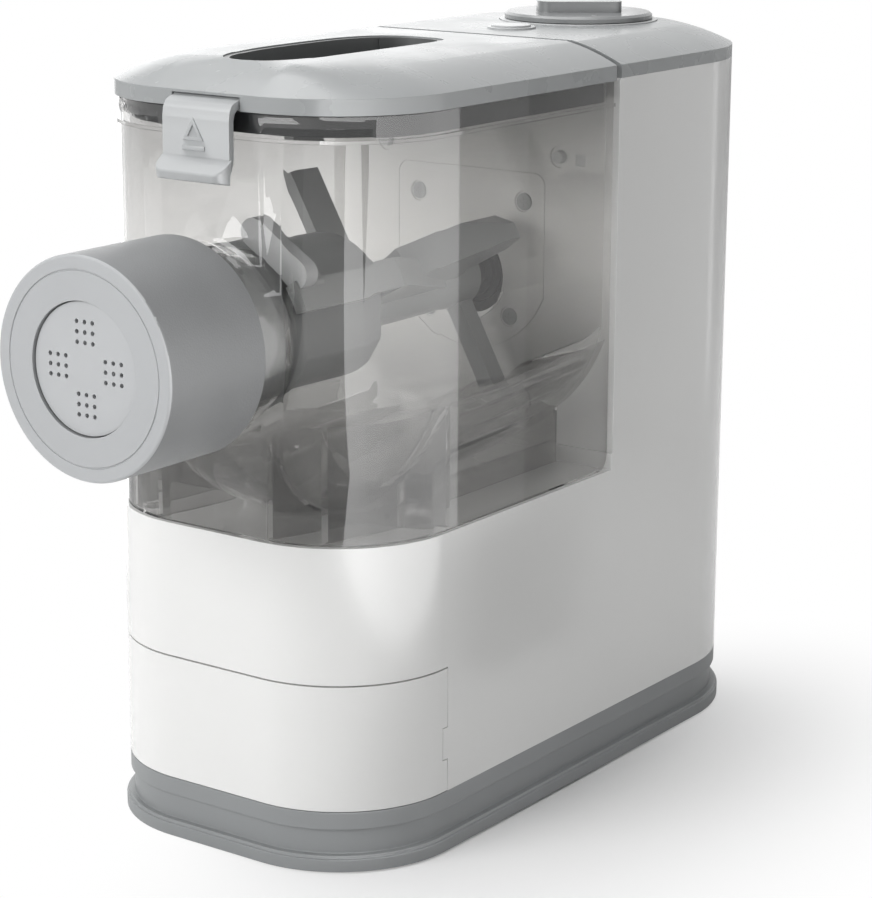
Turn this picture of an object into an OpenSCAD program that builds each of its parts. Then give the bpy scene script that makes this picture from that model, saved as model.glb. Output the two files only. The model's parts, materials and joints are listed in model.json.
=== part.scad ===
// Electric pasta maker with a clear mixing chamber, a storage drawer and a geared drive.
// Frame: X to the right seen from the front, -Y to the front, +Z up.
// The origin is on the ground under the middle of the machine. Millimetres.

/* [Body] */
// Half the width of the white body
half_w = 67.5; // [60:0.5:80]
// Front face of the body, measured from the middle
body_front = 111; // [95:1:125]
// Rear face of the body, measured from the middle
body_rear = 173.2; // [150:0.1:190]
// Corner radius at the front, in plan
r_front = 46; // [20:1:60]
// Corner radius at the rear, in plan
r_rear = 58; // [20:1:64]
// Wall thickness of the moulded shells
wall = 2.6; // [2:0.1:4]
// Bottom of the white body, on the plinth
base_z = 22.7; // [15:0.1:30]
// Top seam of the drawer front
seam_z = 69.9; // [55:0.1:80]
// Shoulder on which the mixing chamber stands
shoulder_z = 120.35; // [100:0.05:140]
// Front wall of the rear tower
tower_y = 47; // [35:1:60]
// Upper edge of the tower, where the top cover starts
tower_z = 271; // [240:1:290]

/* [Lid and cover] */
// Lower edge of the lid's rim
rim_low = 270.3; // [250:0.1:280]
// Upper edge of the lid's rim, where the crown starts
rim_top = 276; // [255:1:285]
// Height of the crown over the rim
crown_h = 9.6; // [4:0.1:15]
// Rear edge of the lid
lid_rear = 44.6; // [30:0.1:55]
// Front edge of the top cover
cover_front = 48; // [40:1:60]

/* [Drive and outlet] */
// Height of the kneading and extrusion axis
axis_z = 190.6; // [170:0.1:210]
// Inner radius of the kneading trough at its front bend
trough_r = 66.8; // [64:0.1:68]
// Front face of the front cap
cap_front = 175; // [160:1:190]
// Rear edge of the front cap
cap_rear = 127; // [118:1:140]
// Radius of the front cap
cap_r = 38.4; // [30:0.1:45]
// Bore of the extrusion tube
tube_bore = 21; // [15:0.5:24]
// Inner radius of the clear neck round the tube
neck_r = 31.5; // [28:0.1:34]
// Tooth module of the first gear stage
module_1 = 1; // [0.8:0.1:1.5]
// Tooth module of the second gear stage
module_2 = 1.5; // [1:0.1:2]
// Teeth of the motor pinion
motor_teeth = 14; // [12:1:20]
// Teeth of the large gear on the lay shaft
lay_teeth = 58; // [40:1:70]
// Teeth of the small gear on the lay shaft
lay_small_teeth = 15; // [12:1:20]
// Teeth of the output gear
output_teeth = 55; // [40:1:60]

/* [Controls] */
// Centre of the control dial, behind the middle
dial_y = 122.4; // [90:0.1:140]
// Radius of the dial's fixed ring
dial_r = 32; // [20:1:36]
// Centre of the start button, behind the middle
button_y = 74; // [60:1:90]
// Radius of the start button
button_r = 7.6; // [5:0.1:12]

/* [Hidden] */
$fn = 64;
tiny = 0.01;
gap = 0.3;
// Plinth
plinth_out = 1.8;
plinth_floor = 0.6;
flange_h = 6;
groove_in = 1.4;
groove_top = 16;
deck_t = 2.8;
// Control board, top face
board_z = 264.6;
// Drawer
drawer_edge_y = 61.9;
drawer_depth_y = 36;
notch_low = 34.9;
notch_high = 47.5;
notch_deep = 2.9;
tray_w = 56;
tray_top = 62;
tray_t = 2;
tray_z = base_z + gap + wall + tray_t;
// Chamber
chamber_in = 1.2;
chamber_t = 2.4;
chamber_low = shoulder_z + gap;
chamber_top = 262;
chamber_rear = lid_rear;
trough_t = 2;
trough_rear_r = 66.1;
trough_tilt = 2.4;
trough_low = chamber_low + 0.4;
trough_high = 180;
bend_y = 67.35;
bend_r = 41.4;
bend_in = 25.2;
cross_y = 57;
side_rib_x = 43;
front_rib_xs = [-27.4, 23.6];
rib_t = 2;
weld = 0.15;
corner_r = 6;
wall_top = rim_low - 0.4;
bead_h = 1.3;
// Crown: width and power of its rounding, and its slight bow along the body
crown_in = 46;
crown_power = 2.4;
crown_bow = 0.00027;
bow_y = -40;
margin = 3;
neck_out = 35.6;
// Water inlet in the lid, half axes of its ellipse, and the clip's hinge
inlet_y = 40.4;
inlet_a = 20.3;
inlet_b = 61.5;
hinge_y = 109.2;
hinge_z = rim_low + 2.2;
hinge_r = 2.2;
clip_notch_top = rim_top - 1;
// Drive train, all shafts parallel to Y
lay_z = axis_z - module_2 * (lay_small_teeth + output_teeth) / 2;
motor_z = lay_z - module_1 * (motor_teeth + lay_teeth) / 2;
stage_2_y = [60, 70];
stage_1_y = [74, 82];
plate_front_y = [54, 57.5];
plate_rear_y = [85, 89];
shaft_r = 5;
lay_shaft_r = 4;
motor_r = 31;
motor_y = [89, 156];
plate_w = 36;
plate_z = [57, 247];
post_x = 28;
post_zs = [plate_z[0] + 8, plate_z[1] - 8];
hex_r = 8;
running = 0.05;
// Hook
arm_in = 32.2;
arm_out = 37;
arm_low = 19;
arm_high = 36.5;
arm_front = 100.5;
web_rear = 37;
scraper_r = 35.9;
hub_r = 11.6;
hub_rear = 37;
// Hopper of the extrusion tube, a circle cut flat at its sides
hopper_r = 27.4;
hopper_up = 3.2;
hopper_side = 25.2;
hopper_rear = 45;
// Shaping discs
cap_edge_r = 1.1;
disc_r = 29.6;
disc_boss_r = 22.6;
disc_y = cap_front - 1.4;
disc_h = 6.2;
// Opening of the drive in the tower wall
drive_hole_r = 16.2;
coupling_hole_r = 18.2;
// Shield and sensor pins on the tower wall
shield_t = 0.8;
shield_screw_at = [[24.2, 220.5], [18, 174.5]];
pin_x = 40.4;
pin_z = 239.3;
cord_z = 44;
rail_x = 36;
rail_r = 4.2;
rail_front = 56;
// Grip of the dial
grip_l = 34;
grip_w = 17;
hook_shaft_r = 7;
hook_shoulder_y = 52;

// ---- shared shapes ----

// Plan of the body, grown by e on every side
module plan(e = 0) {
  w = half_w - r_front;
  v = half_w - r_rear;
  union() {
    translate([-half_w - e, -body_front + r_front])
      square([2 * (half_w + e), body_rear + body_front - r_front - r_rear]);
    translate([-w, -body_front - e]) square([2 * w, r_front + e + 1]);
    translate([-v, body_rear - r_rear - 1]) square([2 * v, r_rear + e + 1]);
    for (s = [-1, 1]) {
      translate([s * w, -body_front + r_front]) circle(r = r_front + e, $fn = 96);
      translate([s * v, body_rear - r_rear]) circle(r = r_rear + e, $fn = 96);
    }
  }
}

// Part of the plan between two Y values
module plan_part(e, y0, y1) {
  intersection() {
    plan(e);
    translate([-half_w - 20, y0]) square([2 * half_w + 40, y1 - y0]);
  }
}

module slab(z0, z1) {
  translate([0, 0, z0]) linear_extrude(height = z1 - z0) children();
}

// Cylinder along Y from y0 to y1, centred on X = x and Z = z
module rod(r, y0, y1, z = axis_z, x = 0, r2 = -1) {
  translate([x, y0, z]) rotate([-90, 0, 0]) cylinder(r1 = r, r2 = r2 < 0 ? r : r2, h = y1 - y0);
}

// Shape drawn in the XZ plane, from y0 to y1
module along_y(y0, y1) {
  translate([0, y1, 0]) rotate([90, 0, 0]) linear_extrude(height = y1 - y0) children();
}

// Rounded rectangle by circles at its corners
module soft_rect(x0, y0, x1, y1, r) {
  translate([x0 + r, y0]) square([x1 - x0 - 2 * r, y1 - y0]);
  translate([x0, y0 + r]) square([x1 - x0, y1 - y0 - 2 * r]);
  for (x = [x0 + r, x1 - r], y = [y0 + r, y1 - r]) translate([x, y]) circle(r = r, $fn = 32);
}

// Stadium from point a to point b, in 2D
module stadium(a, b, r) {
  d = b - a;
  len = norm(d);
  translate(a) rotate(atan2(d[1], d[0])) {
    translate([0, -r]) square([len, 2 * r]);
    circle(r = r);
    translate([len, 0]) circle(r = r);
  }
}

// Height of the crown over the rim at distance d inside the outline
function rise(d) = crown_h * (1 - pow(1 - d / crown_in, crown_power));

// Half section of the crown for an outline at X = width, with its solid down to z0
module crown_edge(width, drop, z0) {
  polygon(concat([[0, z0], [width + margin, z0], [width + margin, rim_top - drop]],
    [for (i = [0:14]) [width - crown_in * i / 14, rim_top - drop + rise(crown_in * i / 14)]],
    [[0, rim_top - drop + crown_h]]));
}

// Solid under the crown, lowered by drop: a pillow that rises inwards from a level rim
module crown(drop, z0) {
  y0 = -body_front + r_front;
  y1 = body_rear - r_rear;
  intersection() {
    union() {
      along_y(y0, y1) {
        crown_edge(half_w, drop, z0);
        mirror([1, 0]) crown_edge(half_w, drop, z0);
      }
      for (end = [[-1, y0, r_front], [1, y1, r_rear]]) {
        side = half_w - end[2];
        translate([-end[0] * side, end[1], 0]) rotate([90, 0, 90 * end[0]])
          linear_extrude(height = 2 * side) crown_edge(end[2], drop, z0);
        for (s = [0, 1]) mirror([s, 0, 0]) translate([side, end[1], 0]) rotate([0, 0, end[0] > 0 ? 0 : -90])
          rotate_extrude(angle = 90, $fn = 96) crown_edge(end[2], drop, z0);
      }
    }
    // slight bow along the body
    translate([-half_w - 5, 0, 0]) rotate([90, 0, 90]) linear_extrude(height = 2 * half_w + 10)
      polygon(concat([[-body_front - 4, z0 - 1]],
        [for (i = [0:40]) let(y = -body_front - 4 + (body_front + body_rear + 8) * i / 40)
          [y, rim_top - drop + crown_h - crown_bow * pow(min(y, lid_rear) - bow_y, 2)]],
        [[body_rear + 4, z0 - 1]]));
  }
}

function involute(rb, r) = sqrt(max(0, r * r / rb / rb - 1)) - acos(min(1, rb / r)) * PI / 180;

// Spur gear outline with one tooth centred on +Y of the drawing, then turned by phase
module gear_2d(m, teeth, phase = 0) {
  r = m * teeth / 2;
  rb = r * cos(20);
  tip = r + 0.8 * m;
  root = r - 1.1 * m;
  start = max(rb, root + 0.05 * m);
  half = 180 / PI * (PI / 2 / teeth * 0.92 + involute(rb, r));
  flank = [for (i = [0:3]) start + (tip - start) * i / 3];
  rotate(90 + phase) polygon([for (t = [0:teeth - 1], p = concat(
    [[root, -half + 180 / PI * involute(rb, start)]],
    [for (q = flank) [q, -half + 180 / PI * involute(rb, q)]],
    [for (i = [3:-1:0]) [flank[i], half - 180 / PI * involute(rb, flank[i])]],
    [[root, half - 180 / PI * involute(rb, start)]]))
    p[0] * [cos(p[1] + 360 * t / teeth), sin(p[1] + 360 * t / teeth)]]);
}

// ---- plinth ----

module base_plinth() color("#8f9193") difference() {
  union() {
    slab(plinth_floor, plinth_floor + flange_h - 1.2) plan(plinth_out);
    slab(plinth_floor + flange_h - 1.2 - tiny, plinth_floor + flange_h) plan(plinth_out - 0.9);
    slab(plinth_floor, groove_top) plan(-groove_in);
    slab(groove_top, base_z) plan(0);
  }
  slab(0, base_z - deck_t) plan(-groove_in - wall);
  // cable and air passages under the tower
  for (y = [tower_y + 8, motor_y[0] + 19]) slab(0, base_z + 1) translate([-42, y]) square([84, 30]);
}

module bottom_plate() color("#7c7e80") difference() {
  union() {
    slab(1.6, 3.6) plan(-groove_in - wall - gap);
    for (x = [-48, 48], y = [-50, 106])
      translate([x, y, 3.6 - tiny]) cylinder(r = 5, h = base_z - deck_t - 3.6);
  }
  for (i = [0:6], x = [-30, 4]) translate([x, 62 + 12 * i, 0]) cube([26, 4, 5]);
  for (x = [-48, 48], y = [-50, 106]) translate([x, y, 0]) cylinder(r = 3.6, h = 3);
}

module rubber_feet() color("#2b2b2c")
  for (x = [-44, 44], y = [-72, 128]) translate([x, y, 0]) cylinder(r1 = 7.4, r2 = 8, h = 1.6);

module bottom_screws() color("#9a9c9f")
  for (x = [-48, 48], y = [-50, 106]) translate([x, y, 1]) difference() {
    cylinder(r = 3.2, h = 2);
    translate([0, 0, -tiny]) cylinder(r = 1.4, h = 1.2, $fn = 6);
  }

// ---- housing ----

module main_housing() color("#f4f5f5") difference() {
  union() {
    difference() {
      union() {
        slab(base_z, shoulder_z) plan(0);
        slab(base_z, tower_z) plan_part(0, tower_y, body_rear + 5);
        // rounded foot of the tower wall
        slab(shoulder_z - tiny, shoulder_z + 6.5) plan_part(0, tower_y - 1, tower_y + 1);
      }
      // tower cavity
      slab(base_z - 1, tower_z + 1) plan_part(-wall, tower_y + wall, body_rear);
      // compartment under the shoulder, open to the tower
      slab(seam_z + wall + gap, shoulder_z - wall) plan_part(-wall, -body_front, tower_y + wall + 1);
      // drawer bay
      slab(base_z - 1, seam_z + gap) plan_part(-wall, -body_front - 5, tower_y - wall);
      slab(base_z - 1, seam_z + gap) plan_part(3, -body_front - 5, -drawer_edge_y + gap);
    }
    // tabs that fill the notches in the drawer's sides
    slab(notch_low + gap, notch_high - gap) difference() {
      plan_part(0, gap - drawer_edge_y - notch_deep, 1 - drawer_edge_y);
      plan(-wall);
    }
    // bosses that carry the gearbox
    for (x = [-post_x, post_x], z = post_zs)
      rod(5, tower_y + wall - tiny, plate_front_y[0], z, x);
    // posts of the main board
    for (x = [-42, 42], y = [-64, 24]) translate([x, y, seam_z + wall]) cylinder(r = 3.5, h = 7.5);
    // guide rails on the shoulder
    for (s = [-1, 1]) along_y(-rail_front, tower_y) translate([s * rail_x, shoulder_z - tiny]) {
      translate([-rail_r, 0]) square([2 * rail_r, rail_r]);
      translate([0, rail_r]) circle(r = rail_r);
    }
  }
  // drive opening and holes of the sensor pins
  rod(drive_hole_r, tower_y - 2, tower_y + wall + 1);
  for (s = [-1, 1]) {
    rod(2.6, tower_y - 2, tower_y + wall + 1, pin_z, s * pin_x);
    rod(4.2, tower_y - 2, tower_y + 1.2, pin_z, s * pin_x);
  }
  // recess of the shield
  along_y(tower_y - 2, tower_y + shield_t) shield_outline(0.35);
  for (s = [-1, 1], p = shield_screw_at) {
    rod(5.3, tower_y, tower_y + 1.6, p[1], s * p[0]);
    rod(1.5, tower_y, tower_y + wall + 1, p[1], s * p[0]);
  }
  // small square sensor window
  translate([48, tower_y - 2, 236.6]) cube([4.4, 3.2, 4.4]);
  // seats of the floor pegs
  for (s = [-1, 1]) rod(2.4, -rail_front - 1, -rail_front + 8, shoulder_z + rail_r, s * rail_x);
  // cord opening and rear vent
  rod(7.1, body_rear - wall - 3, body_rear + 1, cord_z);
  translate([-22, body_rear - 12, 92]) cube([44, 13, 30]);
}

module vent_grille() color("#d9dbdc") intersection() {
  difference() {
    translate([-22, body_rear - 12, 92]) cube([44, 13, 30]);
    for (i = [0:5]) translate([-19, body_rear - 14, 94.4 + 4.5 * i]) cube([38, 16, 2.6]);
  }
  slab(90, 125) difference() {
    plan(0);
    plan(-wall);
  }
}

module top_cover() color("#a9abad") difference() {
  union() {
    intersection() {
      crown(0, tower_z);
      slab(tower_z, 300) plan_part(0, cover_front, body_rear + 5);
    }
    // lip inside the tower
    slab(tower_z - 4, tower_z + 1) plan_part(-wall - 0.1, tower_y + wall + 0.1, body_rear);
    for (x = [-28, 28], y = [62, 148]) translate([x, y, board_z]) cylinder(r = 3, h = 14);
  }
  difference() {
    intersection() {
      crown(2.8, tower_z - 6);
      slab(tower_z - 6, 300) plan_part(-wall - 2, cover_front + 4.6, body_rear + 5);
    }
    // posts of the control board
    for (x = [-28, 28], y = [62, 148]) translate([x, y, board_z]) cylinder(r = 3, h = 20);
  }
  translate([0, button_y, 0]) cylinder(r = button_r + 2, h = 300);
  translate([0, dial_y, 0]) cylinder(r = 7, h = 300);
  // flat seat of the dial
  translate([0, dial_y, rim_top + 6.4]) cylinder(r = dial_r + 0.2, h = 20, $fn = 96);
}

module cord_gland() color("#1f1f20") difference() {
  union() {
    rod(7, body_rear - wall - 4, body_rear, cord_z);
    rod(9.4, body_rear - wall - 6, body_rear - wall, cord_z);
    rod(8.6, body_rear, body_rear + 1.6, cord_z);
  }
  rod(3.6, body_rear - 20, body_rear + 3, cord_z);
}

// Outline of the shield, grown by e
module shield_outline(e = 0) {
  intersection() {
    soft_rect(-34 - e, 130, 34 + e, 232 + e, 5 + e);
    union() {
      translate([-40, 183]) square([80, 60]);
      translate([0, 197.4]) circle(r = 36.6 + e, $fn = 96);
    }
  }
}

// Plate let into the tower wall, with a cup for each screw
module shield_plate() color("#eceded") difference() {
  union() {
    along_y(tower_y, tower_y + shield_t) shield_outline();
    for (s = [-1, 1], p = shield_screw_at) rod(5, tower_y, tower_y + 1.6, p[1], s * p[0]);
  }
  rod(drive_hole_r, tower_y - 1, tower_y + 2);
  for (s = [-1, 1], p = shield_screw_at) {
    rod(4, tower_y - 1, tower_y + 1, p[1], s * p[0]);
    rod(1.5, tower_y, tower_y + 2, p[1], s * p[0]);
  }
}

module shield_screw(x, z) difference() {
  union() {
    rod(3.4, tower_y + 0.5, tower_y + 1, z, x);
    rod(1.45, tower_y + 0.9, tower_y + wall + 3, z, x);
  }
  translate([0, tower_y + 0.8, 0]) rotate([90, 0, 0]) linear_extrude(height = 2) translate([x, z]) {
    square([3.6, 0.8], center = true);
    square([0.8, 3.6], center = true);
  }
}

module shield_screws() color("#b7babd")
  for (s = [-1, 1], p = shield_screw_at) shield_screw(s * p[0], p[1]);

// Bushes in the front ends of the rails
module floor_pegs() color("#f1f2f2")
  for (s = [-1, 1]) difference() {
    rod(2.4, -rail_front - 0.6, -rail_front + 8, shoulder_z + rail_r, s * rail_x);
    rod(1, -rail_front - 1, -rail_front + 5, shoulder_z + rail_r, s * rail_x);
  }

// ---- motor and gears ----

// Cradle on the plinth that carries the motor
module motor_cradle() color("#8f9193") difference() {
  for (y = [motor_y[0] + 10, motor_y[1] - 14])
    translate([-24, y, base_z]) cube([48, 5, motor_z - motor_r - base_z + 6]);
  rod(motor_r, motor_y[0], motor_y[1], motor_z);
}

module motor_stator() color("#8a8d90") {
  difference() {
    rod(motor_r, motor_y[0], motor_y[1], motor_z);
    rod(motor_r - 2, motor_y[0] + 3, motor_y[1] + 1, motor_z);
    rod(lay_shaft_r + 1, motor_y[0] - 1, motor_y[1], motor_z);
  }
  difference() {
    rod(motor_r - 1.9, motor_y[0] + 16, motor_y[1] - 14, motor_z);
    rod(18.4, motor_y[0] + 15, motor_y[1] - 13, motor_z);
    for (a = [45:90:315]) translate([0, 0, motor_z]) rotate([0, a, 0])
      translate([-3, motor_y[0] + 15, 17]) cube([6, 50, 8]);
  }
}

module motor_rotor() color("#6f7376") {
  rod(lay_shaft_r, stage_1_y[0] - 3, motor_y[1] + 14, motor_z);
  difference() {
    rod(18, motor_y[0] + 18, motor_y[1] - 16, motor_z);
    for (a = [0:30:330]) translate([0, 0, motor_z]) rotate([0, a, 0])
      translate([-1, motor_y[0] + 17, 13]) cube([2, 50, 6]);
  }
  rod(9, motor_y[0] + 6, motor_y[0] + 15, motor_z);
}

module motor_pinion() color("#c9a24a") difference() {
  along_y(stage_1_y[0] - 1, stage_1_y[1] + 1) translate([0, motor_z]) gear_2d(module_1, motor_teeth);
  rod(lay_shaft_r, stage_1_y[0] - 3, stage_1_y[1] + 3, motor_z);
}

module cooling_fan() color("#3a3c3e") difference() {
  union() {
    rod(7, motor_y[1] + 3, motor_y[1] + 11, motor_z);
    rod(24, motor_y[1] + 9.5, motor_y[1] + 11, motor_z);
    for (a = [0:40:320]) translate([0, 0, motor_z]) rotate([0, a, 0])
      translate([-0.8, motor_y[1] + 3, 6]) cube([1.6, 7, 18]);
  }
  rod(lay_shaft_r, motor_y[1], motor_y[1] + 15, motor_z);
}

module lay_shaft() color("#c3c6c9") rod(lay_shaft_r, plate_front_y[0] + 0.5, plate_rear_y[1] - 1, lay_z);

module lay_gear() color("#e6e2d2") difference() {
  union() {
    along_y(stage_1_y[0], stage_1_y[1]) translate([0, lay_z])
      gear_2d(module_1, lay_teeth, 180 + 180 / lay_teeth);
    rod(8, stage_1_y[0] - 2, stage_1_y[1] + 2, lay_z);
  }
  rod(lay_shaft_r, stage_1_y[0] - 3, stage_1_y[1] + 3, lay_z);
  for (a = [0:60:300]) translate([0, 0, lay_z]) rotate([0, a, 0])
    rod(5, stage_1_y[0] - 1, stage_1_y[1] + 1, 17);
}

module lay_pinion() color("#c3c6c9") difference() {
  along_y(stage_2_y[0] - 1, stage_2_y[1] + 1.5) translate([0, lay_z]) gear_2d(module_2, lay_small_teeth);
  rod(lay_shaft_r, stage_2_y[0] - 3, stage_2_y[1] + 3, lay_z);
}

module output_gear() color("#e6e2d2") difference() {
  union() {
    along_y(stage_2_y[0], stage_2_y[1]) translate([0, axis_z])
      gear_2d(module_2, output_teeth, 180 + 180 / output_teeth);
    rod(11, stage_2_y[0] - 2, stage_2_y[1] + 3);
  }
  rod(shaft_r, stage_2_y[0] - 3, stage_2_y[1] + 4);
  for (a = [0:60:300]) translate([0, 0, axis_z]) rotate([0, a, 0])
    rod(8, stage_2_y[0] - 1, stage_2_y[1] + 1, 24);
}

module drive_shaft() color("#c3c6c9") rod(shaft_r, 40, plate_rear_y[1] + 4);

module drive_coupling() color("#4a4c4e") difference() {
  union() {
    translate([0, hub_rear - 11, axis_z]) rotate([-90, 30, 0]) cylinder(r = hex_r, h = 10.4, $fn = 6);
    rod(6.4, hub_rear - 1, 48);
    rod(9.6, 47.2, 50);
    rod(11.8, 50, 53.4);
  }
  rod(shaft_r, 40, 54);
}

module bearing_plate(y) difference() {
  along_y(y[0], y[1]) soft_rect(-plate_w, plate_z[0], plate_w, plate_z[1], 8);
  rod(shaft_r + running, y[0] - 1, y[1] + 1);
  rod(lay_shaft_r + running, y[0] - 1, y[1] + 1, lay_z);
  rod(12, y[0] - 1, y[1] + 1, motor_z);
}

module gearbox_front() color("#5d6063") bearing_plate(plate_front_y);

module gearbox_rear() color("#5d6063") bearing_plate(plate_rear_y);

module gearbox_posts() color("#b9bcbf")
  for (x = [-post_x, post_x], z = post_zs)
    rod(4, plate_front_y[1], plate_rear_y[0], z, x);

module shaft_seal() color("#232425") difference() {
  rod(drive_hole_r + 2, tower_y + wall, plate_front_y[0]);
  rod(12.4, tower_y, plate_front_y[0] + 1);
}

// ---- electrics ----

module main_board() color("#2f6b46") difference() {
  translate([-50, -74, seam_z + wall + 7.5]) cube([100, 106, 1.6]);
  for (x = [-42, 42], y = [-64, 24]) translate([x, y, seam_z]) cylinder(r = 1.6, h = 20);
}

module transformer() color("#55585b") {
  z = seam_z + wall + 9.1;
  translate([-32, -50, z]) cube([34, 9, 27]);
  translate([-32, -29, z]) cube([34, 9, 27]);
  translate([-32, -41 - tiny, z]) cube([34, 12 + 2 * tiny, 5]);
  translate([-32, -41 - tiny, z + 22]) cube([34, 12 + 2 * tiny, 5]);
  translate([-26, -45, z + 4]) cube([22, 20, 19]);
}

module capacitor() color("#c9b06a")
  translate([22, -40, seam_z + wall + 9.1]) cylinder(r = 9, h = 24);

module control_board() color("#2f6b46") difference() {
  translate([-34, 56, board_z - 1.6]) cube([68, 98, 1.6]);
  translate([0, dial_y, 0]) cylinder(r = 4.5, h = 300);
}

module microswitch() color("#2a2a2c") {
  for (s = [-1, 1]) translate([s * pin_x, tower_y + wall, 222]) {
    translate([s * 1.2 - 4.6, 0, 0]) cube([9.2, 7.4, 12]);
    translate([-2, 3.6, 11]) cube([4, 0.7, 9]);
  }
}

// ---- controls ----

module dial_ring() color("#c8cacc") difference() {
  translate([0, dial_y, rim_top + 6.4]) cylinder(r = dial_r, h = 1.8, $fn = 96);
  translate([0, dial_y, 0]) cylinder(r = 7, h = 300);
}

module control_knob() color("#b4b6b8") translate([0, dial_y, rim_top]) {
  difference() {
    union() {
      translate([0, 0, 8.5]) cylinder(r = dial_r - 2, h = 1.6, $fn = 96);
      translate([0, 0, 10.1 - tiny]) cylinder(r1 = dial_r - 2, r2 = dial_r - 3.2, h = 0.9, $fn = 96);
      rotate([0, 0, 38]) translate([0, 0, 11 - 2 * tiny]) linear_extrude(height = 4.4)
        union() {
          soft_rect(-grip_l / 2 + grip_w / 4, -grip_w / 2, grip_l / 2, grip_w / 2, 3);
          stadium([-grip_l / 2 + 6, -grip_w / 2 + 6], [-grip_l / 2 + 6, grip_w / 2 - 6], 6);
        }
    }
    rotate([0, 0, 38]) translate([grip_l / 2 - 10, -0.6, 15]) cube([8, 1.2, 2]);
  }
  translate([0, 0, -8]) cylinder(r = 3.6, h = 17);
}

module button_ring() color("#dfe3e6") difference() {
  translate([0, button_y, rim_top + 3]) cylinder(r = button_r + 2, h = 5.4);
  translate([0, button_y, 0]) cylinder(r = button_r + gap, h = 300);
}

module start_button() color("#b9bbbd") translate([0, button_y, 0]) {
  translate([0, 0, rim_top + 1.5]) cylinder(r = button_r, h = 7.6);
  translate([0, 0, tower_z - 4]) cylinder(r = 2.5, h = 10.6);
}

module sensor_pin(s) color("#d3d5d7") {
  rod(2.3, tower_y - 1.6, tower_y + wall + 1, pin_z, s * pin_x);
  rod(3.6, tower_y + wall + 0.3, tower_y + wall + 1.3, pin_z, s * pin_x);
}

module sensor_pin_left() sensor_pin(-1);

module sensor_pin_right() sensor_pin(1);

// ---- drawer ----

module drawer_front() color("#f4f5f5") difference() {
  slab(base_z + gap, seam_z - gap) plan_part(0, -body_front - 5, -drawer_edge_y);
  slab(base_z + gap + wall, seam_z - gap - wall) plan_part(-wall, -body_front, -drawer_edge_y + 1);
  for (s = [-1, 1]) translate([s * half_w, -drawer_edge_y, (notch_low + notch_high) / 2])
    cube([3 * wall, 2 * notch_deep, notch_high - notch_low], center = true);
}

module drawer_tray() color("#e9eaea") difference() {
  translate([-tray_w, -body_front + wall, tray_z - tray_t])
    cube([2 * tray_w, body_front + drawer_depth_y, tray_top - tray_z + tray_t]);
  translate([-tray_w + tray_t, -body_front + wall + tray_t, tray_z])
    cube([2 * tray_w - 2 * tray_t, body_front + drawer_depth_y - 2 * tray_t, 60]);
  intersection() {
    translate([-90, -body_front - 5, 0]) cube([180, body_front - drawer_edge_y + 5.01, 90]);
    slab(0, 90) difference() {
      translate([-90, -130]) square([180, 200]);
      plan(-wall - 0.02);
    }
  }
}

// ---- shaping discs ----

// Blank of a shaping disc lying on its flange, face up
module disc_blank() {
  cylinder(r = disc_r, h = disc_h / 2, $fn = 96);
  cylinder(r = disc_boss_r, h = disc_h, $fn = 96);
}

module spare_disc_slots() color("#e3e5e6")
  translate([0, -62, tray_z]) difference() {
    disc_blank();
    for (i = [-2:2]) translate([-14, i * 6.5 - 0.9, -1]) cube([28, 1.8, 9]);
  }

module spare_disc_ring() color("#e3e5e6")
  translate([0, -62, tray_z + disc_h]) difference() {
    disc_blank();
    for (a = [0:72:288]) rotate([0, 0, a]) translate([12.5, 0, -1]) difference() {
      cylinder(r = 4.6, h = 9);
      cylinder(r = 2.6, h = 9);
      translate([-0.7, -6, 0]) cube([1.4, 12, 9]);
    }
    for (a = [0:72:288]) rotate([0, 0, a]) translate([12.5, 0, 4]) cylinder(r = 2.7, h = 4);
  }

module spare_disc_wide() color("#e3e5e6")
  translate([0, 4, tray_z]) difference() {
    disc_blank();
    for (i = [-1:1]) translate([-15, i * 10 - 0.8, -1]) cube([30, 1.6, 9]);
  }

module shaping_disc() color("#dfe1e2") {
  hole_r = 0.8;
  pitch = 3.5;
  group_r = 12.3;
  difference() {
    union() {
      rod(disc_boss_r, -disc_y, -disc_y + 5.4, axis_z);
      rod(disc_r, -disc_y + 3.2, -disc_y + 6.4, axis_z);
    }
    for (a = [0:90:270], i = [-1:1], j = [-1:1])
      rod(hole_r, -disc_y - 1, -disc_y + 8, axis_z + group_r * sin(a) + j * pitch,
        group_r * cos(a) + i * pitch, $fn = 16);
  }
}

// ---- extrusion ----

module front_cap() color("#7f8284") difference() {
  translate([0, -cap_front, axis_z]) rotate([-90, 0, 0]) rotate_extrude($fn = 128)
    difference() {
      union() {
        translate([0, cap_edge_r]) square([cap_r, cap_front - cap_rear - cap_edge_r]);
        square([cap_r - cap_edge_r, 3]);
        translate([cap_r - cap_edge_r, cap_edge_r]) circle(r = cap_edge_r, $fn = 32);
      }
      translate([33, -0.01]) square([0.5, 0.5]);
      translate([-1, -1]) square([disc_boss_r + 0.4 + 1, 70]);
      translate([-1, 4.3]) square([34.6 + 1, 70]);
    }
}

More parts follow.
